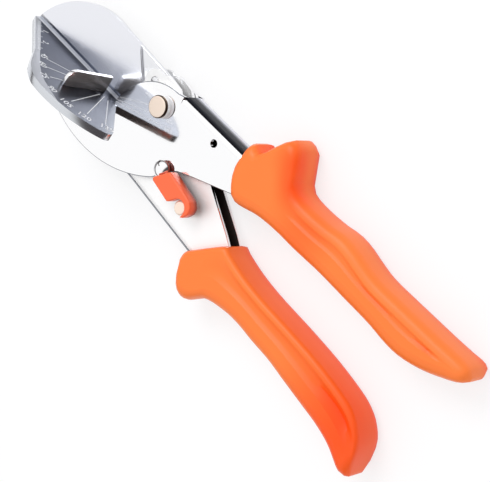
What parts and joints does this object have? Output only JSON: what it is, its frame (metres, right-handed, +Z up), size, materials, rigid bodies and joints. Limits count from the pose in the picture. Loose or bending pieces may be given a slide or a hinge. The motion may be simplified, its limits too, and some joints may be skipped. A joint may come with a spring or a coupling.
{
  "type": "mitre shears",
  "caption": "Mitre shears with a fan shaped angle table, a fence, a thin blade, moulded grips and a latch that holds the arms closed.",
  "frame": {"origin": "bottom centre of the closed tool lying on its back, halfway along and across its bounding box", "axes": "+X from the blade's tip towards the grips, +Y from the lower grip to the upper grip, +Z up along the pivot towards the latch side"},
  "size_m": [0.225, 0.0748, 0.0461],
  "materials": {
    "polished_steel": "polished",
    "blade_steel": "mirror polished",
    "plain_steel": "satin",
    "pale_screw": "satin, pale yellow plating",
    "slate_table": "satin slate grey",
    "anvil": "matt",
    "orange_plastic": "satin",
    "latch_plastic": "satin"
  },
  "bodies": {
    "table_side": {"table_arm": "polished_steel", "upper_grip": "orange_plastic", "mitre_table": "slate_table", "anvil_strip": "anvil", "table_screw_1": "plain_steel", "table_screw_2": "plain_steel", "fence": "slate_table", "pivot_screw": "pale_screw", "pivot_washer": "plain_steel", "pivot_nut": "plain_steel", "pivot_bush": "plain_steel", "latch_pin": "polished_steel"},
    "blade_side": {"blade_arm": "polished_steel", "lower_grip": "orange_plastic", "jaw_plate": "plain_steel", "blade": "blade_steel", "blade_screw_1": "plain_steel", "blade_screw_2": "plain_steel", "jaw_rivet_1": "plain_steel", "jaw_rivet_2": "plain_steel", "spacer_front_1": "plain_steel", "spacer_front_2": "plain_steel", "spacer_back_1": "plain_steel", "spacer_back_2": "plain_steel", "catch_pin": "pale_screw"},
    "latch": {"latch_lever": "latch_plastic"}
  },
  "joints": [
    {"name": "arms_hinge", "type": "hinge", "parent": "table_side", "child": "blade_side", "pos_m": [-0.0392, 0.01065, 0.0085], "axis": [0, 0, -1], "range_deg": [0, 22]},
    {"name": "latch_hinge", "type": "hinge", "parent": "table_side", "child": "latch", "pos_m": [-0.0242, -0.00615, 0.0161], "axis": [0, 0, 1], "range_deg": [0, 55]}
  ]
}
